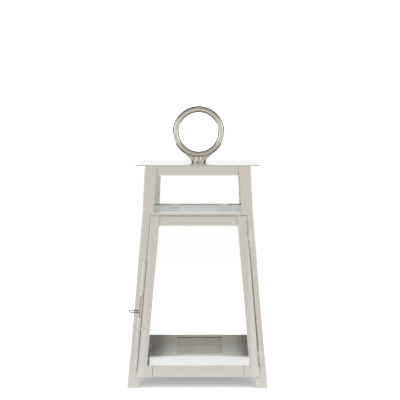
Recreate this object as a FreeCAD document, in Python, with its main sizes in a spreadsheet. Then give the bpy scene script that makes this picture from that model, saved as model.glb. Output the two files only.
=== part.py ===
import FreeCAD, Part
import math
import os

import Sketcher

# Candle lantern of polished folded sheet: four L-section legs that lean in to a waist and then
# stand steeper up to a flat top plate, open vents all round under the plate, three fixed glass
# panes, a hinged glazed door at the front (-Y) with a sliding wire bolt, and a carrying ring.
# The origin is the middle of the footprint on the ground, +Z up, the door faces -Y.

# Driving dimensions in millimetres (angles in degrees), one cell of the sheet each.
DRIVING = (
    # the tapering body
    ("base_width", 200.0),
    ("waist_width", 159.2),
    ("top_width", 153.2),
    ("waist_height", 248.0),
    ("vent_height", 67.6),
    ("sheet", 1.2),
    ("bend_radius", 1.1),
    ("flange_width", 16.0),
    ("foot_height", 15.5),
    # rails between the legs
    ("top_rail_height", 14.0),
    ("top_rail_flange", 10.0),
    ("mid_rail_height", 16.0),
    ("mid_rail_flange", 6.0),
    ("base_rail_height", 19.5),
    ("base_rail_ledge", 10.0),
    ("front_strip_height", 3.8),
    ("stop_lip_height", 12.0),
    ("sill_height", 13.5),
    ("rivet_hole", 2.2),
    ("rivet_hole_inset", 4.0),
    ("rivet_hole_drop", 5.3),
    # floor and top plate
    ("floor_sheet", 1.2),
    ("floor_clearance", 0.4),
    ("plate_width", 180.0),
    ("plate_thickness", 1.5),
    ("plate_corner", 2.0),
    ("plate_edge", 0.4),
    # carrying ring, its neck and the screw that holds them
    ("ring_radius", 34.5),
    ("ring_section", 9.5),
    ("ring_rise", 7.0),
    ("neck_foot_diameter", 22.6),
    ("neck_foot_height", 1.6),
    ("neck_washer_diameter", 20.0),
    ("neck_washer_thickness", 1.2),
    ("neck_post_diameter", 12.0),
    ("neck_post_sink", 1.6),
    ("neck_web_thickness", 6.0),
    ("neck_foot_lip", 1.6),
    ("neck_spread", 33.7),
    ("screw_diameter", 5.0),
    ("screw_hole_clearance", 0.15),
    ("thread_clearance", 0.05),
    ("screw_grip", 5.0),
    ("screw_head_diameter", 9.5),
    ("screw_head_height", 2.9),
    ("screw_socket", 3.0),
    ("screw_socket_depth", 1.6),
    ("screw_washer_diameter", 15.0),
    ("screw_washer_thickness", 1.2),
    # fixed glass
    ("glass_thickness", 2.0),
    ("glass_play", 0.1),
    ("glass_overlap", 8.0),
    ("glass_head_gap", 0.4),
    ("tab_width", 12.0),
    ("tab_spacing", 78.0),
    ("tab_length", 6.8),
    ("clip_sheet", 0.8),
    ("clip_length", 72.6),
    ("clip_height", 12.1),
    # door
    ("latch_flange", 11.2),
    ("hinge_flange", 8.2),
    ("latch_gap", 0.8),
    ("hinge_gap", 1.6),
    ("door_gap", 1.2),
    ("door_ground_gap", 0.8),
    ("stile_width", 13.5),
    ("door_sheet", 1.0),
    ("door_bend", 1.6),
    ("door_depth", 8.0),
    ("door_stop_gap", 0.6),
    ("door_top_rail", 13.7),
    ("door_bottom_rail", 16.0),
    ("door_glass_side_gap", 1.0),
    # hinges
    ("hinge_length", 26.0),
    ("hinge_top_distance", 30.5),
    ("hinge_bottom_distance", 32.5),
    ("hinge_inset", 6.0),
    ("hinge_stand_off", 2.3),
    ("hinge_leaf_sheet", 0.8),
    ("hinge_leaf_depth", 6.2),
    ("hinge_leaf_margin", 1.0),
    ("hinge_weld_gap", 0.002),
    ("knuckle_diameter", 4.0),
    ("knuckle_gap", 0.3),
    ("hinge_pin_diameter", 2.0),
    ("hinge_pin_clearance", 0.05),
    ("hinge_pin_head", 3.2),
    ("hinge_pin_head_height", 0.7),
    # latch
    ("latch_inset", 8.4),
    ("latch_leaf_width", 3.2),
    ("bolt_wire", 1.8),
    ("bolt_clearance", 0.1),
    ("bolt_height", 107.0),
    ("bolt_rise", 60.0),
    ("bolt_reach", 22.3),
    ("bolt_handle", 15.6),
    ("bolt_handle_pitch", 2.9),
    ("bolt_bend", 1.4),
    ("upper_tube_height", 130.3),
    ("upper_tube_length", 48.5),
    ("middle_tube_height", 84.7),
    ("middle_tube_length", 14.3),
    ("lower_tube_height", 31.3),
    ("keeper_height", 2.2),
    ("keeper_gap", 0.7),
    ("keeper_foot", 5.0),
)

SHEET = "Sizes"


class Size:
    """A number that also carries the sheet formula it comes from."""

    def __init__(self, value, formula):
        self.value = float(value)
        self.formula = formula

    def __add__(self, other):
        other = sized(other)
        return Size(self.value + other.value, "(%s + %s)" % (self.formula, other.formula))

    def __sub__(self, other):
        other = sized(other)
        return Size(self.value - other.value, "(%s - %s)" % (self.formula, other.formula))

    def __mul__(self, other):
        other = sized(other)
        return Size(self.value * other.value, "(%s * %s)" % (self.formula, other.formula))

    def __truediv__(self, other):
        other = sized(other)
        return Size(self.value / other.value, "(%s / %s)" % (self.formula, other.formula))

    def __neg__(self):
        return Size(-self.value, "(0 - %s)" % self.formula)

    def sine(self):
        return Size(math.sin(math.radians(self.value)), "sin(%s)" % self.formula)

    def cosine(self):
        return Size(math.cos(math.radians(self.value)), "cos(%s)" % self.formula)


def sized(number):
    return number if isinstance(number, Size) else Size(number, "%s" % number)


document = FreeCAD.newDocument("CandleLantern")
sheet = document.addObject("Spreadsheet::Sheet", SHEET)
size = {}
for row, (alias, value) in enumerate(DRIVING, start=1):
    sheet.set("A%d" % row, str(value))
    sheet.setAlias("A%d" % row, alias)
    size[alias] = Size(value, "%s.%s" % (SHEET, alias))
document.recompute()

ZERO = sized(0)
SUB_PARTS = []


# ---------------------------------------------------------------------------------------------
# Heights and widths that follow from the driving dimensions
# ---------------------------------------------------------------------------------------------

waist = size["waist_height"]
body_top = waist + size["vent_height"]
plate_top = body_top + size["plate_thickness"]
lower_lean = (size["base_width"] - size["waist_width"]) / 2 / waist
upper_lean = (size["waist_width"] - size["top_width"]) / 2 / size["vent_height"]


def lower_half(height):
    """Half the body's width at a height below the waist."""
    return size["base_width"] / 2 - lower_lean * height


def upper_half(height):
    """Half the body's width at a height above the waist."""
    return size["waist_width"] / 2 - upper_lean * (height - waist)


foot = size["foot_height"]
floor_bottom = foot + size["sheet"]
floor_top = floor_bottom + size["floor_sheet"]
strip_bottom = waist - size["front_strip_height"]
door_top = strip_bottom - size["door_gap"]
notch_bottom = foot - size["door_ground_gap"]
stop_depth = size["door_depth"] + size["door_stop_gap"]
left_edge = size["latch_flange"] + size["latch_gap"]
right_edge = size["hinge_flange"] + size["hinge_gap"]
ring_outer = size["ring_radius"] + size["ring_section"] / 2
ring_height = plate_top + size["ring_rise"] + ring_outer


# ---------------------------------------------------------------------------------------------
# Sketches and features
# ---------------------------------------------------------------------------------------------


def new_body(label):
    body = document.addObject("PartDesign::Body", label)
    body.Label = label
    SUB_PARTS.append(body)
    return body


def new_sketch(body, name, plane, lift=ZERO):
    """A sketch on one of the body's own origin planes, lifted along that plane's normal."""
    sketch = body.newObject("Sketcher::SketchObject", name)
    support = [item for item in body.Origin.OriginFeatures if item.Role == plane][0]
    sketch.AttachmentSupport = [(support, "")]
    sketch.MapMode = "FlatFace"
    sketch.AttachmentOffset.Base.z = lift.value
    sketch.setExpression("AttachmentOffset.Base.z", lift.formula)
    return sketch


def tie(sketch, kind, geometry, end, amount):
    """Tie one coordinate of a sketch point, kind being DistanceX or DistanceY."""
    index = sketch.addConstraint(Sketcher.Constraint(kind, -1, 1, geometry, end, amount.value))
    name = "%s%d_%d" % (kind, geometry, end)
    sketch.renameConstraint(index, name)
    sketch.setExpression("Constraints." + name, amount.formula)


def pin_point(sketch, geometry, end, point):
    tie(sketch, "DistanceX", geometry, end, point[0])
    tie(sketch, "DistanceY", geometry, end, point[1])


def tie_radius(sketch, geometry, radius):
    name = "radius%d" % geometry
    index = sketch.addConstraint(Sketcher.Constraint("Radius", geometry, radius.value))
    sketch.renameConstraint(index, name)
    sketch.setExpression("Constraints." + name, radius.formula)


def flat(point):
    return FreeCAD.Vector(point[0].value, point[1].value, 0)


def quarter_round(start, finish):
    """Arc between two points of a right-angled corner, and which of its ends comes first."""
    centre = FreeCAD.Vector(finish[0].value, start[1].value, 0)
    arms = [flat(point) - centre for point in (start, finish)]
    angles = [math.atan2(arm.y, arm.x) for arm in arms]
    forward = arms[0].cross(arms[1]).z > 0
    circle = Part.Circle(centre, FreeCAD.Vector(0, 0, 1), arms[0].Length)
    if forward:
        return Part.ArcOfCircle(circle, angles[0], angles[1]), (1, 2)
    return Part.ArcOfCircle(circle, angles[1], angles[0]), (2, 1)


def add_outline(sketch, corners, bend=None):
    """A closed run of straight edges; with a bend, its first edge is a quarter round."""
    corners = [(sized(x), sized(y)) for x, y in corners]
    first = sketch.GeometryCount
    count = len(corners)
    ends = []
    for index in range(count):
        start = corners[index]
        finish = corners[(index + 1) % count]
        if bend is not None and index == 0:
            edge, order = quarter_round(start, finish)
        else:
            edge, order = Part.LineSegment(flat(start), flat(finish)), (1, 2)
        sketch.addGeometry(edge, False)
        ends.append(order)
    for index in range(count):
        following = (index + 1) % count
        sketch.addConstraint(
            Sketcher.Constraint(
                "Coincident",
                first + index,
                ends[index][1],
                first + following,
                ends[following][0],
            )
        )
    for index in range(count):
        pin_point(sketch, first + index, ends[index][0], corners[index])
    if bend is not None:
        tie_radius(sketch, first, bend)


def add_circle(sketch, x, y, radius):
    centre = (sized(x), sized(y))
    circle = Part.Circle(flat(centre), FreeCAD.Vector(0, 0, 1), radius.value)
    geometry = sketch.addGeometry(circle, False)
    pin_point(sketch, geometry, 3, centre)
    tie_radius(sketch, geometry, radius)


def pad(body, sketch, length, reverse=False, midplane=False):
    feature = body.newObject("PartDesign::Pad", sketch.Name + "_pad")
    feature.Profile = sketch
    feature.setExpression("Length", length.formula)
    feature.Reversed = reverse
    feature.Midplane = midplane
    document.recompute()
    return feature


def pocket(body, sketch, length=None, reverse=False):
    """Cut the sketch out of the body; without a length it goes far through on both sides."""
    before = body.Shape.Volume
    feature = body.newObject("PartDesign::Pocket", sketch.Name + "_pocket")
    feature.Profile = sketch
    reach = length or size["base_width"] * 2
    feature.setExpression("Length", reach.formula)
    feature.Reversed = reverse
    feature.Midplane = length is None
    document.recompute()
    if not 0 < body.Shape.Volume < before:
        raise RuntimeError("%s cuts nothing" % feature.Name)
    return feature


def loft(body, sketches):
    """Straight-sided loft through sketches that lie one above the other."""
    feature = body.newObject("PartDesign::AdditiveLoft", sketches[0].Name + "_loft")
    feature.Profile = sketches[0]
    feature.Sections = sketches[1:]
    feature.Ruled = True
    document.recompute()
    return feature


def round_edges(body, radius, chosen):
    """Fillet the edges of the body's tip that are chosen by their two ends."""
    base = body.Tip
    names = []
    for index, edge in enumerate(base.Shape.Edges, start=1):
        ends = [vertex.Point for vertex in edge.Vertexes]
        if len(ends) == 2 and chosen(*ends):
            names.append("Edge%d" % index)
    if not names:
        raise RuntimeError("%s has no such edge to round" % body.Label)
    feature = body.newObject("PartDesign::Fillet", body.Name + "_bend")
    feature.Base = (base, names)
    feature.setExpression("Radius", radius.formula)
    document.recompute()
    return feature


def section(half, corners):
    """Points of a level section, from (side, inset, depth) measured off the leaning faces."""
    points = []
    for side, inset, depth in corners:
        reach = half - inset
        points.append((reach if side > 0 else -reach, -(half - depth)))
    return points


def leaning(body, name, low, high, half, corners, bend=None):
    """A prism between two heights whose level section keeps its distance from the faces."""
    sketches = []
    for word, height in (("low", low), ("high", high)):
        sketch = new_sketch(body, "%s_%s_%s" % (body.Name, name, word), "XY_Plane", height)
        add_outline(sketch, section(half(height), corners), bend)
        sketches.append(sketch)
    return loft(body, sketches)


def shelf(body, name, height, thickness, half, corners):
    """A level flange, drawn from the face's width at the narrower of its two heights."""
    sketch = new_sketch(body, "%s_%s" % (body.Name, name), "XY_Plane", height)
    add_outline(sketch, section(half, corners))
    return pad(body, sketch, thickness)


def strip(inset_left, inset_right, depth, thickness):
    """Level section of a sheet that runs from left to right at a depth behind the face."""
    return (
        (-1, inset_left, depth),
        (1, inset_right, depth),
        (1, inset_right, depth + thickness),
        (-1, inset_left, depth + thickness),
    )


# The side that a piece drawn at the front is turned to, in quarter turns.
QUARTER_TURNS = {"front": 0, "right": 1, "back": 2, "left": 3}


def turn_to(body, side):
    turn = FreeCAD.Rotation(FreeCAD.Vector(0, 0, 1), 90 * QUARTER_TURNS[side])
    body.Placement = FreeCAD.Placement(FreeCAD.Vector(0, 0, 0), turn)


# ---------------------------------------------------------------------------------------------
# Legs
# ---------------------------------------------------------------------------------------------


def leg_section(half, side_x, side_y):
    """L-section folded from sheet, its corner on the body's own corner."""
    thin = size["sheet"]
    wide = size["flange_width"]
    bend = size["bend_radius"]
    points = []
    for inset_x, inset_y in (
        (ZERO, bend),
        (bend, ZERO),
        (wide, ZERO),
        (wide, thin),
        (thin, thin),
        (thin, wide),
        (ZERO, wide),
    ):
        x = half - inset_x
        y = half - inset_y
        points.append((x if side_x > 0 else -x, y if side_y > 0 else -y))
    return points


def make_leg(label, side_x, side_y):
    body = new_body(label)
    sketches = []
    for word, height, half in (
        ("ground", ZERO, lower_half(ZERO)),
        ("waist", waist, lower_half(waist)),
        ("top", body_top, upper_half(body_top)),
    ):
        sketch = new_sketch(body, "%s_%s" % (label, word), "XY_Plane", height)
        add_outline(sketch, leg_section(half, side_x, side_y), size["bend_radius"])
        sketches.append(sketch)
    loft(body, sketches)
    return body


def notch_for_door(body, side, kept_width):
    """Narrow a front leg's flange beside the door, so that the door lies flush in it."""
    beyond = size["flange_width"] + size["sheet"]
    corners = []
    for height, inset in (
        (notch_bottom, kept_width),
        (strip_bottom, kept_width),
        (strip_bottom, beyond),
        (notch_bottom, beyond),
    ):
        reach = lower_half(height) - inset
        corners.append((reach if side > 0 else -reach, height))
    sketch = new_sketch(body, body.Name + "_notch", "XZ_Plane")
    add_outline(sketch, corners)
    pocket(body, sketch)


make_leg("leg_back_left", -1, 1)
make_leg("leg_back_right", 1, 1)
left_leg = make_leg("leg_front_left", -1, -1)
right_leg = make_leg("leg_front_right", 1, -1)
notch_for_door(left_leg, -1, size["latch_flange"])
notch_for_door(right_leg, 1, size["hinge_flange"])

hole_height = body_top - size["rivet_hole_drop"]
hole_sketch = new_sketch(right_leg, "leg_front_right_hole", "XZ_Plane")
add_circle(
    hole_sketch,
    upper_half(hole_height) - size["rivet_hole_inset"],
    hole_height,
    size["rivet_hole"] / 2,
)
pocket(right_leg, hole_sketch)


# ---------------------------------------------------------------------------------------------
# Rails between the legs
# ---------------------------------------------------------------------------------------------


def rail_section(depth, thickness):
    """A sheet between two legs' flanges."""
    return strip(size["flange_width"], size["flange_width"], depth, thickness)


glass_back = size["sheet"] + size["glass_play"] + size["glass_thickness"] + size["glass_play"]


def make_top_rail(side):
    """Angle under the top plate: a face flush with the legs and a flange that carries the plate."""
    body = new_body("top_rail_" + side)
    low = body_top - size["top_rail_height"]
    leaning(body, "face", low, body_top, upper_half, rail_section(ZERO, size["sheet"]))
    shelf(
        body,
        "flange",
        body_top - size["sheet"],
        size["sheet"],
        upper_half(body_top),
        rail_section(ZERO, size["top_rail_flange"]),
    )
    turn_to(body, side)


def make_mid_rail(side):
    """Angle over a fixed pane, with two bent tabs that hold the pane's top edge."""
    body = new_body("mid_rail_" + side)
    low = waist - size["mid_rail_height"]
    leaning(body, "face", low, waist, lower_half, rail_section(ZERO, size["sheet"]))
    shelf(
        body,
        "flange",
        waist - size["sheet"],
        size["sheet"],
        lower_half(waist),
        rail_section(ZERO, size["mid_rail_flange"]),
    )
    tab_low = waist - size["sheet"] - size["tab_length"]
    for name, place in (("left_tab", -size["tab_spacing"] / 2), ("right_tab", size["tab_spacing"] / 2)):
        sketches = []
        for word, height in (("low", tab_low), ("high", waist)):
            sketch = new_sketch(body, "%s_%s_%s" % (body.Name, name, word), "XY_Plane", height)
            front = -(lower_half(height) - glass_back)
            back = front + size["sheet"]
            near = place - size["tab_width"] / 2
            far = place + size["tab_width"] / 2
            add_outline(sketch, ((near, front), (far, front), (far, back), (near, back)))
            sketches.append(sketch)
        loft(body, sketches)
    turn_to(body, side)


def make_base_rail(side):
    """Angle along the bottom of a fixed side, whose ledge carries the floor plate."""
    body = new_body("base_rail_" + side)
    high = foot + size["base_rail_height"]
    leaning(body, "face", foot, high, lower_half, rail_section(ZERO, size["sheet"]))
    shelf(
        body,
        "ledge",
        foot,
        size["sheet"],
        lower_half(floor_bottom),
        rail_section(ZERO, size["base_rail_ledge"]),
    )
    turn_to(body, side)


for side_name in ("front", "back", "left", "right"):
    make_top_rail(side_name)
for side_name in ("back", "left", "right"):
    make_mid_rail(side_name)
    make_base_rail(side_name)

# The front mid rail is a narrow strip over the door, folded back and down as the door's stop.
mid_rail_front = new_body("mid_rail_front")
leaning(
    mid_rail_front, "strip", strip_bottom, waist, lower_half, rail_section(ZERO, size["sheet"])
)
shelf(
    mid_rail_front,
    "flange",
    waist - size["sheet"],
    size["sheet"],
    lower_half(waist),
    rail_section(ZERO, stop_depth + size["sheet"]),
)
leaning(
    mid_rail_front,
    "stop_lip",
    waist - size["stop_lip_height"],
    waist,
    lower_half,
    rail_section(stop_depth, size["sheet"]),
)

# The sill stands behind the door's bottom rail, between the front legs' side flanges.
door_sill = new_body("door_sill")
sill_inset = glass_back + size["bend_radius"]
leaning(
    door_sill,
    "stop",
    foot,
    foot + size["sill_height"],
    lower_half,
    strip(sill_inset, sill_inset, stop_depth, size["sheet"]),
)
shelf(
    door_sill,
    "ledge",
    foot,
    size["sheet"],
    lower_half(floor_bottom),
    strip(
        size["sheet"],
        size["sheet"],
        stop_depth,
        size["flange_width"] - stop_depth - size["floor_clearance"],
    ),
)


# ---------------------------------------------------------------------------------------------
# Floor plate and top plate
# ---------------------------------------------------------------------------------------------

floor_plate = new_body("floor_plate")
floor_side = lower_half(floor_top) - size["sheet"] - size["floor_clearance"]
floor_front = lower_half(floor_top) - stop_depth - size["sheet"] - size["floor_clearance"]
floor_sketch = new_sketch(floor_plate, "floor_plate_outline", "XY_Plane", floor_bottom)
add_outline(
    floor_sketch,
    (
        (-floor_side, -floor_front),
        (floor_side, -floor_front),
        (floor_side, floor_side),
        (-floor_side, floor_side),
    ),
)
pad(floor_plate, floor_sketch, size["floor_sheet"])

screw_hole = size["screw_diameter"] / 2 + size["screw_hole_clearance"]
plate_half = size["plate_width"] / 2
top_plate = new_body("top_plate")
plate_sketch = new_sketch(top_plate, "top_plate_outline", "XY_Plane", body_top)
add_outline(
    plate_sketch,
    (
        (-plate_half, -plate_half),
        (plate_half, -plate_half),
        (plate_half, plate_half),
        (-plate_half, plate_half),
    ),
)
add_circle(plate_sketch, ZERO, ZERO, screw_hole)
pad(top_plate, plate_sketch, size["plate_thickness"])


def on_plate_corner(point):
    near_x = abs(abs(point.x) - plate_half.value) < 0.01
    near_y = abs(abs(point.y) - plate_half.value) < 0.01
    return near_x and near_y


def upright_corner(first, last):
    return on_plate_corner(first) and on_plate_corner(last) and abs(first.z - last.z) > 0.1


round_edges(top_plate, size["plate_corner"], upright_corner)
for level in (body_top.value, plate_top.value):
    round_edges(
        top_plate,
        size["plate_edge"],
        lambda *ends: all(abs(point.z - level) < 0.01 for point in ends),
    )


# ---------------------------------------------------------------------------------------------
# Carrying ring
# ---------------------------------------------------------------------------------------------

ring = document.addObject("Part::Torus", "ring")
ring.Label = "ring"
ring.setExpression("Radius1", size["ring_radius"].formula)
ring.setExpression("Radius2", (size["ring_section"] / 2).formula)
ring.Placement = FreeCAD.Placement(
    FreeCAD.Vector(0, 0, ring_height.value),
    FreeCAD.Rotation(FreeCAD.Vector(1, 0, 0), 90),
)
SUB_PARTS.append(ring)


def make_disc(label, bottom, thickness, diameter, hole_radius):
    body = new_body(label)
    sketch = new_sketch(body, label + "_outline", "XY_Plane", bottom)
    add_circle(sketch, ZERO, ZERO, diameter / 2)
    add_circle(sketch, ZERO, ZERO, hole_radius)
    pad(body, sketch, thickness)
    return body


make_disc(
    "neck_washer",
    plate_top,
    size["neck_washer_thickness"],
    size["neck_washer_diameter"],
    screw_hole,
)

# The neck is cast: a round foot, a round post and two webs that spread under the ring, with the
# ring's own shape sunk into their top.
neck_bottom = plate_top + size["neck_washer_thickness"]
neck = new_body("ring_neck")
foot_sketch = new_sketch(neck, "ring_neck_foot", "XY_Plane", neck_bottom)
add_circle(foot_sketch, ZERO, ZERO, size["neck_foot_diameter"] / 2)
pad(neck, foot_sketch, size["neck_foot_height"])

web_sketch = new_sketch(neck, "ring_neck_webs", "XZ_Plane")
spread_sine = size["neck_spread"].sine()
spread_cosine = size["neck_spread"].cosine()
foot_half = size["neck_foot_diameter"] / 2 - size["neck_foot_lip"]
web_reach = ring_outer * spread_sine
web_level = ring_height - ring_outer * spread_cosine
centre_reach = size["ring_radius"] * spread_sine
centre_level = ring_height - size["ring_radius"] * spread_cosine
web_low = neck_bottom + size["neck_foot_height"] / 2
add_outline(
    web_sketch,
    (
        (-foot_half, web_low),
        (foot_half, web_low),
        (web_reach, web_level),
        (centre_reach, centre_level),
        (ZERO, ring_height - size["ring_radius"]),
        (-centre_reach, centre_level),
        (-web_reach, web_level),
    ),
)
pad(neck, web_sketch, size["neck_web_thickness"], midplane=True)


post_sketch = new_sketch(neck, "ring_neck_post", "XY_Plane", neck_bottom)
add_circle(post_sketch, ZERO, ZERO, size["neck_post_diameter"] / 2)
pad(neck, post_sketch, ring_height - ring_outer + size["neck_post_sink"] - neck_bottom)

volume_before = neck.Shape.Volume
seat = neck.newObject("PartDesign::SubtractiveTorus", "ring_neck_seat")
seat.setExpression("Radius1", size["ring_radius"].formula)
seat.setExpression("Radius2", (size["ring_section"] / 2).formula)
seat.Placement = ring.Placement
document.recompute()
if not 0 < neck.Shape.Volume < volume_before:
    raise RuntimeError("the ring's seat cuts nothing")

bore_sketch = new_sketch(neck, "ring_neck_bore", "XY_Plane", neck_bottom)
add_circle(bore_sketch, ZERO, ZERO, size["screw_diameter"] / 2 + size["thread_clearance"])
pocket(neck, bore_sketch, size["screw_grip"], reverse=True)

# Screw from below, through its washer, the plate and the neck washer into the neck.
make_disc(
    "screw_washer",
    body_top - size["screw_washer_thickness"],
    size["screw_washer_thickness"],
    size["screw_washer_diameter"],
    screw_hole,
)
head_top = body_top - size["screw_washer_thickness"]
screw = new_body("ring_screw")
head_sketch = new_sketch(screw, "ring_screw_head", "XY_Plane", head_top)
add_circle(head_sketch, ZERO, ZERO, size["screw_head_diameter"] / 2)
pad(screw, head_sketch, size["screw_head_height"], reverse=True)
shank_sketch = new_sketch(screw, "ring_screw_shank", "XY_Plane", head_top)
add_circle(shank_sketch, ZERO, ZERO, size["screw_diameter"] / 2)
pad(screw, shank_sketch, neck_bottom + size["screw_grip"] - head_top)
socket_sketch = new_sketch(
    screw, "ring_screw_socket", "XY_Plane", head_top - size["screw_head_height"]
)
socket_radius = size["screw_socket"] / sized(3) * Size(math.sqrt(3), "sqrt(3)")
add_outline(
    socket_sketch,
    [
        (socket_radius * sized(60 * turn).cosine(), socket_radius * sized(60 * turn).sine())
        for turn in range(6)
    ],
)
pocket(screw, socket_sketch, size["screw_socket_depth"], reverse=True)


# ---------------------------------------------------------------------------------------------
# Fixed glass and its clips
# ---------------------------------------------------------------------------------------------

pane_low = floor_top + size["clip_sheet"] + size["glass_play"]
pane_high = waist - size["sheet"] - size["glass_head_gap"]
pane_inset = size["flange_width"] - size["glass_overlap"]


def add_clip(body, low, high, outer, inner, toe_low):
    """Spring strip behind a pane, with a toe that turns under or over the pane's edge."""
    half_length = size["clip_length"] / 2
    sketches = []
    for word, height in (("low", low), ("high", high)):
        sketch = new_sketch(body, "%s_%s" % (body.Name, word), "XY_Plane", height)
        front = -(lower_half(height) - inner)
        back = front + size["clip_sheet"]
        add_outline(
            sketch,
            ((-half_length, front), (half_length, front), (half_length, back), (-half_length, back)),
        )
        sketches.append(sketch)
    loft(body, sketches)
    toe = new_sketch(body, body.Name + "_toe", "XY_Plane", toe_low)
    narrow = lower_half(toe_low + size["clip_sheet"])
    front = -(narrow - outer)
    back = -(narrow - inner) + size["clip_sheet"] / 2
    add_outline(
        toe,
        ((-half_length, front), (half_length, front), (half_length, back), (-half_length, back)),
    )
    pad(body, toe, size["clip_sheet"])


for side_name in ("back", "left", "right"):
    pane = new_body("glass_" + side_name)
    leaning(
        pane,
        "pane",
        pane_low,
        pane_high,
        lower_half,
        strip(
            pane_inset,
            pane_inset,
            size["sheet"] + size["glass_play"],
            size["glass_thickness"],
        ),
    )
    turn_to(pane, side_name)
    clip = new_body("glass_clip_" + side_name)
    add_clip(
        clip, floor_top, floor_top + size["clip_height"], size["sheet"], glass_back, floor_top
    )
    turn_to(clip, side_name)


# ---------------------------------------------------------------------------------------------
# Door
# ---------------------------------------------------------------------------------------------


def make_stile(label, side, edge):
    """Upright of the door, folded back along its outer edge."""
    thin = size["door_sheet"]
    bend = size["door_bend"]
    body = new_body(label)
    corners = [
        (side, edge, bend),
        (side, edge + bend, ZERO),
        (side, edge + size["stile_width"], ZERO),
        (side, edge + size["stile_width"], thin),
        (side, edge + thin, thin),
        (side, edge + thin, size["door_depth"]),
        (side, edge, size["door_depth"]),
    ]
    leaning(body, "angle", foot, door_top, lower_half, corners, bend)


make_stile("door_stile_left", -1, left_edge)
make_stile("door_stile_right", 1, right_edge)

rail_left = left_edge + size["stile_width"]
rail_right = right_edge + size["stile_width"]


def make_door_rail(label, low, high, return_low, return_half):
    """Rail between the stiles, folded back along the door's top or bottom edge."""
    body = new_body(label)
    leaning(
        body, "face", low, high, lower_half, strip(rail_left, rail_right, ZERO, size["door_sheet"])
    )
    shelf(
        body,
        "return",
        return_low,
        size["door_sheet"],
        return_half,
        strip(rail_left, rail_right, ZERO, size["door_depth"]),
    )


make_door_rail(
    "door_rail_top",
    door_top - size["door_top_rail"],
    door_top,
    door_top - size["door_sheet"],
    lower_half(door_top),
)
make_door_rail(
    "door_rail_bottom",
    foot,
    foot + size["door_bottom_rail"],
    foot,
    lower_half(foot + size["door_sheet"]),
)

door_floor = foot + size["door_sheet"]
door_ceiling = door_top - size["door_sheet"]
door_glass_front = size["door_sheet"] + size["glass_play"]
door_glass_back = door_glass_front + size["glass_thickness"] + size["glass_play"]
door_glass_inset = size["door_sheet"] + size["door_glass_side_gap"]
door_glass = new_body("door_glass")
leaning(
    door_glass,
    "pane",
    door_floor + size["clip_sheet"] + size["glass_play"],
    door_ceiling - size["clip_sheet"] - size["glass_play"],
    lower_half,
    strip(
        left_edge + door_glass_inset,
        right_edge + door_glass_inset,
        door_glass_front,
        size["glass_thickness"],
    ),
)
add_clip(
    new_body("door_clip_bottom"),
    door_floor,
    door_floor + size["clip_height"],
    size["door_sheet"],
    door_glass_back,
    door_floor,
)
add_clip(
    new_body("door_clip_top"),
    door_ceiling - size["clip_height"],
    door_ceiling,
    size["door_sheet"],
    door_glass_back,
    door_ceiling - size["clip_sheet"],
)


# ---------------------------------------------------------------------------------------------
# Frames that lie along the front corners, for the hinges and the latch
# ---------------------------------------------------------------------------------------------


def corner_frame(side, inset, stand_off, height):
    """Placement on a line parallel to a front corner: Z up along it, Y into the lantern.

    The line runs at an inset from the corner, in front of the face by the stand-off.
    """
    lean = lower_lean.value
    slope = math.hypot(1, lean)
    inward = FreeCAD.Vector(0, 1 / slope, -lean / slope)
    along = FreeCAD.Vector(-side * lean, lean, 1).normalize()
    half = lower_half(sized(height)).value
    on_face = FreeCAD.Vector(side * (half - inset), -half, height)
    across = inward.cross(along)
    turn = FreeCAD.Rotation(across, inward, along, "ZYX")
    return FreeCAD.Placement(on_face - inward * stand_off, turn)


def add_block(body, name, x_low, x_high, y_low, y_high, z_low, z_high):
    """Rectangular block in the body's own frame."""
    sketch = new_sketch(body, "%s_%s" % (body.Name, name), "XY_Plane", sized(z_low))
    add_outline(
        sketch, ((x_low, y_low), (x_high, y_low), (x_high, y_high), (x_low, y_high))
    )
    return pad(body, sketch, sized(z_high) - sized(z_low))


def add_rod(body, name, radius, z_low, z_high):
    sketch = new_sketch(body, "%s_%s" % (body.Name, name), "XY_Plane", sized(z_low))
    add_circle(sketch, ZERO, ZERO, radius)
    return pad(body, sketch, sized(z_high) - sized(z_low))


def add_bore(body, name, radius):
    sketch = new_sketch(body, "%s_%s" % (body.Name, name), "XY_Plane")
    add_circle(sketch, ZERO, ZERO, radius)
    return pocket(body, sketch)


# ---------------------------------------------------------------------------------------------
# Hinges
# ---------------------------------------------------------------------------------------------

half_hinge = size["hinge_length"] / 2
half_knuckle = size["hinge_length"] / 6
knuckle_radius = size["knuckle_diameter"] / 2
pin_radius = size["hinge_pin_diameter"] / 2
leaf = size["hinge_leaf_sheet"]


def make_frame_leaf(label, place):
    """Leaf on the leg's flange, with the top and bottom knuckles rolled from it."""
    body = new_body(label)
    back = size["hinge_stand_off"]
    front = back - leaf
    clear_of_knuckle = knuckle_radius + size["knuckle_gap"]
    far = size["hinge_inset"] - size["hinge_leaf_margin"]
    add_block(body, "plate", clear_of_knuckle, far, front, back, -half_hinge, half_hinge)
    inner = half_knuckle + size["knuckle_gap"] / 2
    for word, low, high in (("top", inner, half_hinge), ("bottom", -half_hinge, -inner)):
        add_block(body, word + "_arm", ZERO, clear_of_knuckle, front, back, low, high)
        add_rod(body, word + "_knuckle", knuckle_radius, low, high)
    add_bore(body, "bore", pin_radius + size["hinge_pin_clearance"])
    body.Placement = place


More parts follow.
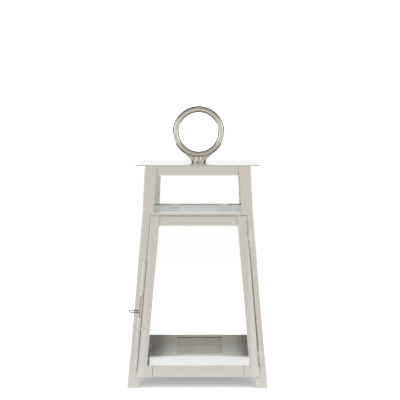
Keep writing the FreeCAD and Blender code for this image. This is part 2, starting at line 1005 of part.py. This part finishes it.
def make_door_leaf(label, place):
    """Leaf on the door's folded edge, reaching forward to the middle knuckle."""
    body = new_body(label)
    # the leaf stands square to the face, and the folded edge leans away from square
    splay = lower_lean * lower_lean * (size["hinge_stand_off"] + size["hinge_leaf_depth"])
    outer = -(right_edge - size["hinge_inset"]) + splay + size["hinge_weld_gap"]
    front = knuckle_radius - leaf
    back = size["hinge_stand_off"] + size["hinge_leaf_depth"]
    low = -half_knuckle + size["knuckle_gap"] / 2
    high = half_knuckle - size["knuckle_gap"] / 2
    add_block(body, "plate", outer, outer + leaf, front, back, -half_hinge, half_hinge)
    add_block(body, "arm", outer, ZERO, front, knuckle_radius, low, high)
    add_rod(body, "knuckle", knuckle_radius, low, high)
    add_bore(body, "bore", pin_radius + size["hinge_pin_clearance"])
    body.Placement = place


def make_hinge_pin(label, place):
    """Pin peened over at both ends of the hinge."""
    body = new_body(label)
    end = half_hinge + size["hinge_pin_head_height"]
    add_rod(body, "shank", pin_radius, -end, end)
    head_radius = size["hinge_pin_head"] / 2
    add_rod(body, "top_head", head_radius, half_hinge, end)
    add_rod(body, "bottom_head", head_radius, -end, -half_hinge)
    body.Placement = place


for word, height in (
    ("upper", door_top - size["hinge_top_distance"]),
    ("lower", foot + size["hinge_bottom_distance"]),
):
    hinge_place = corner_frame(
        1, size["hinge_inset"].value, size["hinge_stand_off"].value, height.value
    )
    make_frame_leaf(word + "_hinge_frame_leaf", hinge_place)
    make_door_leaf(word + "_hinge_door_leaf", hinge_place)
    make_hinge_pin(word + "_hinge_pin", hinge_place)


# ---------------------------------------------------------------------------------------------
# Latch
# ---------------------------------------------------------------------------------------------

bolt_bore = size["bolt_wire"] / 2 + size["bolt_clearance"]
face_level = size["hinge_stand_off"]


def latch_frame(height):
    return corner_frame(-1, size["latch_inset"].value, face_level.value, height)


def make_latch_tube(label, low, length):
    """Guide rolled from the edge of a leaf that lies on the leg's flange."""
    body = new_body(label)
    add_block(
        body, "leaf", -size["latch_leaf_width"], ZERO, face_level - leaf, face_level, ZERO, length
    )
    add_rod(body, "tube", knuckle_radius, ZERO, length)
    add_bore(body, "bore", bolt_bore)
    body.Placement = latch_frame(low.value)


keeper_top = size["middle_tube_height"] - size["keeper_gap"]
keeper_bottom = keeper_top - size["keeper_height"]
lower_tube_top = keeper_bottom - size["keeper_gap"]
make_latch_tube("latch_tube_upper", size["upper_tube_height"], size["upper_tube_length"])
make_latch_tube("latch_tube_middle", size["middle_tube_height"], size["middle_tube_length"])
make_latch_tube(
    "latch_tube_lower",
    size["lower_tube_height"],
    lower_tube_top - size["lower_tube_height"],
)

# The keeper is an eye on the door, between the middle and lower tubes, that the bolt drops into.
keeper = new_body("latch_keeper")
keeper_height = size["keeper_height"]
keeper_root = left_edge - size["latch_inset"] + size["keeper_gap"]
keeper_end = keeper_root + size["keeper_foot"]
tongue_front = knuckle_radius - leaf
add_rod(keeper, "eye", knuckle_radius, ZERO, keeper_height)
add_block(
    keeper, "tongue", ZERO, keeper_end, tongue_front, knuckle_radius, ZERO, keeper_height
)
add_block(
    keeper, "foot", keeper_root, keeper_end, tongue_front, face_level, ZERO, keeper_height
)
add_bore(keeper, "bore", bolt_bore)
keeper.Placement = latch_frame(keeper_bottom.value)

# The bolt is one wire: down through the upper tube, out to the side and back as a hairpin
# handle, and down again into the middle tube.
bolt = new_body("latch_bolt")
bend = size["bolt_bend"]
half_pitch = size["bolt_handle_pitch"] / 2
turn_centre = -(size["bolt_handle"] - half_pitch - size["bolt_wire"] / 2)
route = (
    (ZERO, size["bolt_rise"]),
    (ZERO, half_pitch + bend),
    (-bend, half_pitch),
    (turn_centre, half_pitch),
    (turn_centre, -half_pitch),
    (-bend, -half_pitch),
    (ZERO, -half_pitch - bend),
    (ZERO, -size["bolt_reach"]),
)
path = new_sketch(bolt, "latch_bolt_path", "XZ_Plane")


def path_line(start, end):
    geometry = path.addGeometry(Part.LineSegment(flat(start), flat(end)), False)
    pin_point(path, geometry, 1, start)
    pin_point(path, geometry, 2, end)
    return geometry


def path_arc(before, after, centre, radius, first_angle, last_angle, swapped):
    """Arc between two lines; swapped where it is drawn from the later line to the earlier."""
    circle = Part.Circle(flat(centre), FreeCAD.Vector(0, 0, 1), radius.value)
    arc = Part.ArcOfCircle(circle, math.radians(first_angle), math.radians(last_angle))
    geometry = path.addGeometry(arc, False)
    first_end, last_end = (2, 1) if swapped else (1, 2)
    path.addConstraint(Sketcher.Constraint("Coincident", before, 2, geometry, first_end))
    path.addConstraint(Sketcher.Constraint("Coincident", geometry, last_end, after, 1))
    if last_angle - first_angle == 180:
        tie(path, "DistanceX", geometry, 3, centre[0])
    else:
        tie_radius(path, geometry, radius)


upper_run = path_line(route[0], route[1])
handle_out = path_line(route[2], route[3])
handle_back = path_line(route[4], route[5])
lower_run = path_line(route[6], route[7])
path_arc(upper_run, handle_out, (-bend, half_pitch + bend), bend, -90, 0, True)
path_arc(handle_out, handle_back, (turn_centre, ZERO), half_pitch, 90, 270, False)
path_arc(handle_back, lower_run, (-bend, -half_pitch - bend), bend, 0, 90, True)

wire_sketch = new_sketch(bolt, "latch_bolt_wire", "XY_Plane", size["bolt_rise"])
add_circle(wire_sketch, ZERO, ZERO, size["bolt_wire"] / 2)
document.recompute()
wire = bolt.newObject("PartDesign::AdditivePipe", "latch_bolt_sweep")
wire.Profile = wire_sketch
wire.Spine = path
document.recompute()
bolt.Placement = latch_frame(size["bolt_height"].value)


# ---------------------------------------------------------------------------------------------
# Check and write
# ---------------------------------------------------------------------------------------------

document.recompute()
faults = []
for item in document.Objects:
    if "Invalid" in item.State or "Error" in item.State:
        faults.append("%s: %s" % (item.Name, item.State))
for part in SUB_PARTS:
    if part.Shape.isNull() or not part.Shape.isValid():
        faults.append("%s has no valid shape" % part.Label)
if faults:
    raise RuntimeError("; ".join(faults))

os.makedirs("parts", exist_ok=True)
for part in SUB_PARTS:
    part.Shape.exportStep(os.path.join("parts", part.Label + ".step"))
print("%d sub-parts written" % len(SUB_PARTS))
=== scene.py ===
import math

import bpy
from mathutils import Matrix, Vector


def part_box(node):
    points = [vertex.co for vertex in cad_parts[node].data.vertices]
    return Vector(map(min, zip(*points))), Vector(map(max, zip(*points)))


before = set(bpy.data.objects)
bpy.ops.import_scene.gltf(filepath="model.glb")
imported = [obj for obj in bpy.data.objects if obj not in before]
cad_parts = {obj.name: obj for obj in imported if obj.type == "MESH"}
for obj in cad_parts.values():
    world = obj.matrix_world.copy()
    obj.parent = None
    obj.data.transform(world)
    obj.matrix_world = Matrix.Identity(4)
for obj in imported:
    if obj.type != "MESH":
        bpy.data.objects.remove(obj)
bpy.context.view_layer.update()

# ---------------------------------------------------------------------------------------------
# Floor and studio
# A white paper table in a plain white room, with one wide soft box over the lantern. What the
# polished metal mirrors is painted by direction: a grey card behind the camera, a bright panel on
# each side, a tan ceiling, and a dark flag ahead with a white gap in its middle.
# ---------------------------------------------------------------------------------------------

MM = 0.001


class Wave:
    """A node socket that takes part in plain arithmetic and grows Math nodes as it goes."""

    def __init__(self, recipe, socket):
        self.recipe = recipe
        self.socket = socket

    def _math(self, operation, other=0.0):
        return self.recipe.node(
            "ShaderNodeMath", {"operation": operation}, {0: self, 1: other}
        )

    def __add__(self, other):
        return self._math("ADD", other)

    __radd__ = __add__

    def __mul__(self, other):
        return self._math("MULTIPLY", other)

    def __sub__(self, other):
        return self._math("SUBTRACT", other)

    def __rsub__(self, other):
        return self.recipe.node(
            "ShaderNodeMath", {"operation": "SUBTRACT"}, {0: other, 1: self}
        )

    def __truediv__(self, other):
        return self._math("DIVIDE", other)

    def size(self):
        return self._math("ABSOLUTE")

    def least(self, other):
        return self._math("MINIMUM", other)

    def most(self, other):
        return self._math("MAXIMUM", other)

    def band(self, low, high):
        """0 below low, 1 above high, and smooth between them."""
        return self.recipe.node(
            "ShaderNodeMapRange",
            {"interpolation_type": "SMOOTHSTEP"},
            {"Value": self, "From Min": low, "From Max": high},
        )


class Finish:
    """One material and the nodes that go into it."""

    def __init__(self, name):
        self.material = bpy.data.materials.new(name)
        self.material.use_nodes = True
        self.tree = self.material.node_tree
        self.tree.nodes.clear()
        self.output = self.tree.nodes.new("ShaderNodeOutputMaterial")
        self.place = self.node("ShaderNodeTexCoord", {}, {}, "Object")

    def node(self, kind, settings, inputs, output=0):
        """Any node: its settings first, then the values or links of its sockets."""
        made = self.tree.nodes.new(kind)
        for key, value in settings.items():
            setattr(made, key, value)
        for key, value in inputs.items():
            socket = made.inputs[key]
            if isinstance(value, Wave):
                self.tree.links.new(value.socket, socket)
            else:
                socket.default_value = value
        return Wave(self, made.outputs[output])

    def noise(self, scale, detail=2.0, roughness=0.5, stretch=None):
        where = self.place
        if stretch:
            where = self.node(
                "ShaderNodeVectorMath", {"operation": "MULTIPLY"}, {0: where, 1: stretch}
            )
        return self.node(
            "ShaderNodeTexNoise",
            {},
            {"Vector": where, "Scale": scale, "Detail": detail, "Roughness": roughness},
            "Fac",
        )

    def mix(self, factor, first, second):
        return self.node(
            "ShaderNodeMix", {"data_type": "RGBA"}, {0: factor, 6: first, 7: second}, 2
        )

    def axis(self, letter):
        return self.node("ShaderNodeSeparateXYZ", {}, {"Vector": self.place}, letter)

    def bump(self, height, distance, strength):
        return self.node(
            "ShaderNodeBump", {}, {"Height": height, "Distance": distance, "Strength": strength},
            "Normal",
        )

    def surface(self, shader):
        self.tree.links.new(shader.socket, self.output.inputs["Surface"])
        return self.material

    def principled(self, **inputs):
        named = {key.replace("_", " "): value for key, value in inputs.items()}
        return self.node("ShaderNodeBsdfPrincipled", {}, named)


def link_new(name, data):
    made = bpy.data.objects.new(name, data)
    bpy.context.scene.collection.objects.link(made)
    return made


GLOW = 1.02
TABLE_SIDE = 5.0
TABLE_FRONT = -2.4
TABLE_BACK = 6.0


def make_floor():
    """White table: seen directly it is lit paper, mirrored in metal it greys towards the front."""
    mesh = bpy.data.meshes.new("paper_table")
    corners = (
        (-TABLE_SIDE, TABLE_FRONT, 0),
        (TABLE_SIDE, TABLE_FRONT, 0),
        (TABLE_SIDE, TABLE_BACK, 0),
        (-TABLE_SIDE, TABLE_BACK, 0),
    )
    mesh.from_pydata(corners, [], [(0, 1, 2, 3)])
    floor = link_new("paper_table", mesh)
    paper = Finish("white_paper")
    grain = paper.noise(900.0, 3.0)
    colour = paper.mix(grain, (0.93, 0.93, 0.93, 1), (0.96, 0.96, 0.96, 1))
    depth = paper.axis("Y")
    near = paper.node("ShaderNodeBsdfDiffuse", {}, {"Color": colour})
    far = paper.node("ShaderNodeEmission", {}, {"Color": (1, 1, 1, 1), "Strength": GLOW})
    lit = paper.node(
        "ShaderNodeMixShader", {}, {0: depth.band(0.35, 1.3), 1: near, 2: far}
    )
    greying = paper.mix(depth.band(-0.9, 0.5), (0.66, 0.63, 0.58, 1), (0.9, 0.9, 0.9, 1))
    mirrored = paper.node("ShaderNodeEmission", {}, {"Color": greying})
    glossy_ray = paper.node("ShaderNodeLightPath", {}, {}, "Is Glossy Ray")
    both = paper.node("ShaderNodeMixShader", {}, {0: glossy_ray, 1: lit, 2: mirrored})
    floor.data.materials.append(paper.surface(both))


make_floor()


class Room(Finish):
    """The studio round the table, painted by direction."""

    def __init__(self, name):
        world = bpy.data.worlds.new(name)
        world.use_nodes = True
        self.tree = world.node_tree
        self.tree.nodes.clear()
        self.output = self.tree.nodes.new("ShaderNodeOutputWorld")
        self.material = world
        self.place = self.node("ShaderNodeTexCoord", {}, {}, "Generated")
        bpy.context.scene.world = world


room = Room("studio_room")
ahead = room.axis("Y")
up = room.axis("Z")
WHITE = (1.0, 1.0, 1.0, 1)
PLAIN = (1.5, 1.5, 1.5, 1)
CARD = (0.675, 0.645, 0.595, 1)
FLAG = (0.03, 0.03, 0.03, 1)
SIDE = (1.30, 1.29, 1.26, 1)
CEILING = (0.40, 0.355, 0.29, 1)
sides = room.mix(up.band(0.30, 0.60), SIDE, CEILING)
wall = room.mix(up.band(0.10, 0.40), CARD, CEILING)
walls = room.mix(ahead.band(-0.80, -0.50), wall, sides)
flags = room.mix(ahead.band(-0.20, 0.02), walls, FLAG)
gap = (ahead + up.most(0.0) * 0.09).band(0.965, 0.985)
mirrored_room = room.mix(gap, flags, WHITE)
in_metal = room.node("ShaderNodeLightPath", {}, {}, "Is Glossy Ray")
colour = room.mix(in_metal, PLAIN, mirrored_room)
room.surface(room.node("ShaderNodeBackground", {}, {"Color": colour, "Strength": GLOW}))

bpy.context.scene.view_settings.view_transform = "Standard"

BOX_SIZE = 1.8
BOX_POWER = 9.0
BOX_HEIGHT = 1.9
box_over = bpy.data.lights.new("box_over", "AREA")
box_over.size = BOX_SIZE
box_over.energy = BOX_POWER
lamp = link_new("box_over", box_over)
lamp.location = (0, 0, BOX_HEIGHT)
lamp.visible_glossy = False

EYE_HEIGHT = 0.390
EYE_DISTANCE = 1.584
EYE_SIDE = 0.027
SENSOR = 36.0
FOCAL_WIDTHS = 2.604
SHIFT_X = -0.041
SHIFT_Y = -0.214
camera_data = bpy.data.cameras.new("studio_camera")
camera_data.sensor_width = SENSOR
camera_data.lens = FOCAL_WIDTHS * SENSOR
camera_data.shift_x = SHIFT_X
camera_data.shift_y = SHIFT_Y
camera = link_new("studio_camera", camera_data)
camera.location = (EYE_SIDE, -EYE_DISTANCE, EYE_HEIGHT)
camera.rotation_euler = (math.radians(90), 0, 0)
bpy.context.scene.camera = camera

# ---------------------------------------------------------------------------------------------
# Legs and rails
# Folded from 1.2 mm sheet, soldered at the corners, then polished and nickel-plated, which
# leaves a bright mirror with a fine lengthwise polishing grain and faint ripples.
# ---------------------------------------------------------------------------------------------

BASE_HALF = 100.0 * MM
WAIST_HALF = 79.6 * MM
TOP_HALF = 76.6 * MM
WAIST = 248.0 * MM
BODY_TOP = 315.6 * MM
LINE_WIDTH = 0.28 * MM
RIM_WIDTH = 1.1 * MM
RIM_FADE = 0.6 * MM
# Solder colour of the joint lines, also used for the painted shadow under the top plate.
SOLDER_AND_SHADOW = (0.20, 0.185, 0.16, 1)
# White of the painted highlight along the stiles' folded edges.
HIGHLIGHT_WHITE = (1.0, 0.995, 0.98, 1)


def dress(node, finish):
    """Give a carried-over piece its finish."""
    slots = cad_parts[node].material_slots
    if not slots:
        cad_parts[node].data.materials.append(finish)
    for slot in slots:
        slot.material = finish


def body_half(height):
    """Half the body's width at a height, on either side of the waist."""
    lower = BASE_HALF - height * ((BASE_HALF - WAIST_HALF) / WAIST)
    upper = WAIST_HALF - (height - WAIST) * ((WAIST_HALF - TOP_HALF) / (BODY_TOP - WAIST))
    return lower.least(upper)


def seam(finish, letter, insets):
    """1 on the soldered joint lines at these insets from the body's sides, 0 elsewhere."""
    half = body_half(finish.axis("Z"))
    along = finish.axis(letter)
    lines = None
    for side, inset in insets:
        distance = (along - (half - inset) * side).size()
        line = 1 - distance.band(LINE_WIDTH * 0.5, LINE_WIDTH * 1.8)
        lines = line if lines is None else lines.most(line)
    return lines


def nickel(name, tint, roughness, grain_axis, seams=None, rim_highlight=None, film=0.0):
    """Polished nickel plate with its grain along one axis of the piece.

    Joint lines are darker, and the line under the top plate is darkened as a painted shadow. A
    rim highlight is a painted satin-white highlight along a folded edge. A film is a thin haze of
    wax that makes the mirror paler.
    """
    finish = Finish(name)
    across = {"X": (0.04, 1, 1), "Y": (1, 0.04, 1), "Z": (1, 1, 0.04)}[grain_axis]
    grain = finish.noise(2600.0, 3.0, 0.6, across)
    cloud = finish.noise(28.0, 2.0, 0.5)
    haze = finish.noise(140.0, 4.0, 0.6)
    warm = tuple(value * shade for value, shade in zip(tint, (0.955, 0.945, 0.93))) + (1,)
    colour = finish.mix(cloud * 0.7 + haze * 0.3, tuple(tint) + (1,), warm)
    rough = roughness + haze * 0.035 + grain * 0.03
    # Painted shadow: the top millimetre of each piece, just under the top plate, is darkened.
    joint_and_shadow = finish.axis("Z").band(BODY_TOP - 1.0 * MM, BODY_TOP - 0.3 * MM)
    if seams:
        joint_and_shadow = joint_and_shadow.most(seam(finish, *seams))
    colour = finish.mix(joint_and_shadow * 0.75, colour, SOLDER_AND_SHADOW)
    rough = rough + joint_and_shadow * 0.25
    # Painted highlight: a satin-white band along the folded outer edge.
    if rim_highlight:
        side, inset = rim_highlight
        inward = body_half(finish.axis("Z")) - inset - finish.axis("X") * side
        painted_highlight = 1 - inward.band(RIM_WIDTH, RIM_WIDTH + RIM_FADE)
        colour = finish.mix(painted_highlight, colour, HIGHLIGHT_WHITE)
        rough = rough + painted_highlight * 0.30
    waves = finish.noise(16.0, 1.0, 0.4)
    height = grain * 0.03 + waves * 0.35 + haze * 0.03
    normal = finish.bump(height, 0.0006, 0.25)
    return finish.surface(
        finish.principled(
            Base_Color=colour, Metallic=1.0 - film, Roughness=rough, Normal=normal
        )
    )


NICKEL = (0.90, 0.885, 0.86)
LEG_FACE = 16.0 * MM
BOTH_LEGS = ((1, LEG_FACE), (-1, LEG_FACE))
leg_nickel = nickel("leg_nickel", NICKEL, 0.20, "Z")
rail_nickel_x = nickel("rail_nickel_x", NICKEL, 0.17, "X", seams=("X", BOTH_LEGS))
rail_nickel_y = nickel("rail_nickel_y", NICKEL, 0.17, "Y", seams=("Y", BOTH_LEGS))

for leg in ("leg_front_left", "leg_front_right", "leg_back_left", "leg_back_right"):
    dress(leg, leg_nickel)
for level in ("top_rail", "mid_rail"):
    for side, finish in (
        ("front", rail_nickel_x),
        ("back", rail_nickel_x),
        ("left", rail_nickel_y),
        ("right", rail_nickel_y),
    ):
        dress("%s_%s" % (level, side), finish)

BRIGHT = (1.0, 1.0, 0.99)
base_nickel_x = nickel("base_nickel_x", BRIGHT, 0.15, "X", seams=("X", BOTH_LEGS))
base_nickel_y = nickel("base_nickel_y", BRIGHT, 0.15, "Y", seams=("Y", BOTH_LEGS))
hazy_nickel_x = nickel(
    "hazy_nickel_x", BRIGHT, 0.15, "X", seams=("X", BOTH_LEGS), film=0.22
)
dress("base_rail_back", hazy_nickel_x)
dress("door_sill", base_nickel_x)
dress("base_rail_left", base_nickel_y)
dress("base_rail_right", base_nickel_y)

# ---------------------------------------------------------------------------------------------
# Floor plate and top plate
# Flat plated sheet. The floor is dished a little and has the light rub marks that candles and
# cloths leave, and the top plate has its edges and corners eased.
# ---------------------------------------------------------------------------------------------


def plate_nickel(name, tint, roughness, rubbed, dish=0.0):
    """Plated flat sheet; a dish tilts it more towards its left and right edges."""
    finish = Finish(name)
    rub = finish.noise(420.0, 4.0, 0.7, (1, 0.25, 1))
    cloud = finish.noise(18.0, 2.0)
    marks = rub.band(0.60, 0.75) * rubbed
    colour = finish.mix(
        (cloud * 0.5 + marks * 0.5),
        tuple(tint) + (1,),
        tuple(value * 0.93 for value in tint) + (1,),
    )
    rough = roughness + marks * 0.10 + cloud * 0.03
    height = cloud * 0.4 + rub * 0.02
    if dish:
        reach = finish.axis("X") / BASE_HALF
        height = height - reach * reach * finish.axis("Y") * (dish / BASE_HALF)
    normal = finish.bump(height, 0.0004, 0.2)
    return finish.surface(
        finish.principled(Base_Color=colour, Metallic=1.0, Roughness=rough, Normal=normal)
    )


FLOOR_DISH = 28.0
dress(
    "floor_plate", plate_nickel("floor_nickel", (0.80, 0.80, 0.815), 0.08, 1.0, FLOOR_DISH)
)
dress("top_plate", plate_nickel("top_plate_nickel", (0.87, 0.87, 0.865), 0.16, 0.5))

# ---------------------------------------------------------------------------------------------
# Carrying ring
# A cast ring on a flared neck, screwed on from below with a plain zinc-plated screw and
# washers. The neck's nickel is painted darker than the ring's, as painted shade.
# ---------------------------------------------------------------------------------------------


def cast_nickel(name, roughness, bright):
    finish = Finish(name)
    cloud = finish.noise(60.0, 3.0)
    pits = finish.noise(1500.0, 2.0)
    dull = tuple(value * 0.92 for value in bright)
    colour = finish.mix(cloud, bright + (1,), dull + (1,))
    normal = finish.bump(cloud * 0.3 + pits.band(0.62, 0.72) * -0.05, 0.0004, 0.3)
    return finish.surface(
        finish.principled(
            Base_Color=colour, Metallic=1.0, Roughness=roughness + cloud * 0.06, Normal=normal
        )
    )


dress("ring", cast_nickel("ring_nickel", 0.05, (0.86, 0.84, 0.81)))
# The neck's darker nickel is painted shade.
dress("ring_neck", cast_nickel("shaded_neck_nickel", 0.05, (0.66, 0.64, 0.61)))


def zinc(name):
    finish = Finish(name)
    spangle = finish.node(
        "ShaderNodeTexVoronoi", {}, {"Vector": finish.place, "Scale": 900.0}, "Distance"
    )
    colour = finish.mix(spangle, (0.62, 0.63, 0.64, 1), (0.48, 0.49, 0.50, 1))
    return finish.surface(
        finish.principled(
            Base_Color=colour,
            Metallic=1.0,
            Roughness=spangle * 0.2 + 0.28,
            Normal=finish.bump(spangle, 0.00005, 0.4),
        )
    )


zinc_plate = zinc("zinc_plate")
for node in ("ring_screw", "screw_washer", "neck_washer"):
    dress(node, zinc_plate)

# ---------------------------------------------------------------------------------------------
# Glass
# Clear 2 mm float glass, cut with ground edges. The fixed panes have a frosted strip along the
# head, where the rail's two tabs grip them, with a darker ground line at its top and foot.
# ---------------------------------------------------------------------------------------------

FROST_DEPTH = 13.5 * MM


def float_glass(name, pane_top=None):
    """Clear glass; given a pane's top, the strip below it is frosted and shows green."""
    finish = Finish(name)
    smear = finish.noise(24.0, 4.0, 0.6)
    see_through = finish.node(
        "ShaderNodeBsdfTransparent", {}, {"Color": (0.993, 0.996, 0.992, 1)}
    )
    gloss = finish.node(
        "ShaderNodeBsdfGlossy", {}, {"Color": (1, 1, 1, 1), "Roughness": 0.02}
    )
    sheen = finish.node("ShaderNodeFresnel", {}, {"IOR": 1.22})
    clear = finish.node(
        "ShaderNodeMixShader", {}, {0: sheen * (smear * 0.08 + 0.86), 1: see_through, 2: gloss}
    )
    if pane_top is None:
        return finish.surface(clear)
    head = pane_top - FROST_DEPTH
    grind = finish.noise(1200.0, 3.0)
    height = finish.axis("Z")
    top = height.band(pane_top - 0.9 * MM, pane_top - 0.5 * MM)
    foot = 1 - (height - head - 0.5 * MM).size().band(0.3 * MM, 0.7 * MM)
    ground = finish.mix(grind, (0.86, 0.92, 0.89, 1), (0.94, 0.97, 0.95, 1))
    frost = finish.principled(
        Base_Color=finish.mix(top.most(foot), ground, (0.16, 0.20, 0.19, 1)),
        Roughness=grind * 0.2 + 0.25,
    )
    strip = height.band(head - 1.2 * MM, head) * (smear * 0.3 + 0.7)
    return finish.surface(
        finish.node("ShaderNodeMixShader", {}, {0: strip * 0.80, 1: clear, 2: frost})
    )


for node in ("glass_back", "glass_left", "glass_right"):
    dress(node, float_glass("float_" + node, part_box(node)[1][2]))
dress("door_glass", float_glass("float_door_glass"))

# ---------------------------------------------------------------------------------------------
# Glass clips
# Short strips of spring steel pushed in behind each pane, duller than the plated sheet.
# ---------------------------------------------------------------------------------------------


def strip_steel(name):
    finish = Finish(name)
    rolled = finish.noise(1800.0, 3.0, 0.6, (0.05, 0.05, 1))
    stain = finish.noise(90.0, 3.0)
    colour = finish.mix(stain, (0.90, 0.90, 0.89, 1), (0.78, 0.78, 0.76, 1))
    return finish.surface(
        finish.principled(
            Base_Color=colour,
            Metallic=1.0,
            Roughness=0.26 + stain * 0.12,
            Normal=finish.bump(rolled, 0.0001, 0.3),
        )
    )


spring_strip = strip_steel("spring_strip")
for node in (
    "glass_clip_back", "glass_clip_left", "glass_clip_right", "door_clip_bottom", "door_clip_top"
):
    dress(node, spring_strip)

# ---------------------------------------------------------------------------------------------
# Door frame
# Stiles and rails folded from thinner sheet than the legs', set flush and polished with them.
# The stiles' outer edges carry a painted highlight.
# ---------------------------------------------------------------------------------------------

LATCH_SIDE = 12.0 * MM
HINGE_SIDE = 9.8 * MM
STILE_WIDTH = 13.5 * MM
DOOR_JOINTS = ((-1, LATCH_SIDE + STILE_WIDTH), (1, HINGE_SIDE + STILE_WIDTH))
# Each stile's outer edge gets a painted highlight.
stile_nickel_left = nickel("stile_nickel_left", NICKEL, 0.18, "Z", rim_highlight=(-1, LATCH_SIDE))
stile_nickel_right = nickel("stile_nickel_right", NICKEL, 0.18, "Z", rim_highlight=(1, HINGE_SIDE))
door_nickel_x = nickel("door_nickel_x", NICKEL, 0.18, "X", seams=("X", DOOR_JOINTS))
dress("door_stile_left", stile_nickel_left)
dress("door_stile_right", stile_nickel_right)
dress("door_rail_top", door_nickel_x)
dress("door_rail_bottom", door_nickel_x)

# ---------------------------------------------------------------------------------------------
# Hinges and latch
# Rolled leaves, drawn tube and bent wire, plated with the body. Wear shows the brass below,
# most of all on the wire. The leaves and tubes are painted lighter than the body's nickel as a
# painted highlight, and the wire is painted darker as painted shade.
# ---------------------------------------------------------------------------------------------

BRASS = (0.72, 0.62, 0.42, 1)


def hardware_nickel(name, bright, wear):
    finish = Finish(name)
    cloud = finish.noise(160.0, 3.0)
    rub = finish.noise(700.0, 4.0, 0.7)
    dull = tuple(value * 0.88 for value in bright)
    base = finish.mix(cloud, bright + (1,), dull + (1,))
    colour = finish.mix(rub.band(0.66, 0.78) * wear, base, BRASS)
    return finish.surface(
        finish.principled(
            Base_Color=colour,
            Metallic=1.0,
            Roughness=0.05 + cloud * 0.06,
            Normal=finish.bump(cloud * 0.5 + rub * 0.1, 0.0001, 0.3),
        )
    )


# Lighter than the body's nickel: a painted highlight.
lit_hinge_nickel = hardware_nickel("lit_hinge_nickel", (0.96, 0.955, 0.94), 0.25)
# Darker than the body's nickel: painted shade.
shaded_wire_nickel = hardware_nickel("shaded_wire_nickel", (0.60, 0.54, 0.47), 0.6)
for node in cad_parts:
    if "hinge" in node:
        dress(node, lit_hinge_nickel)
    elif node.startswith("latch"):
        dress(node, shaded_wire_nickel if node == "latch_bolt" else lit_hinge_nickel)
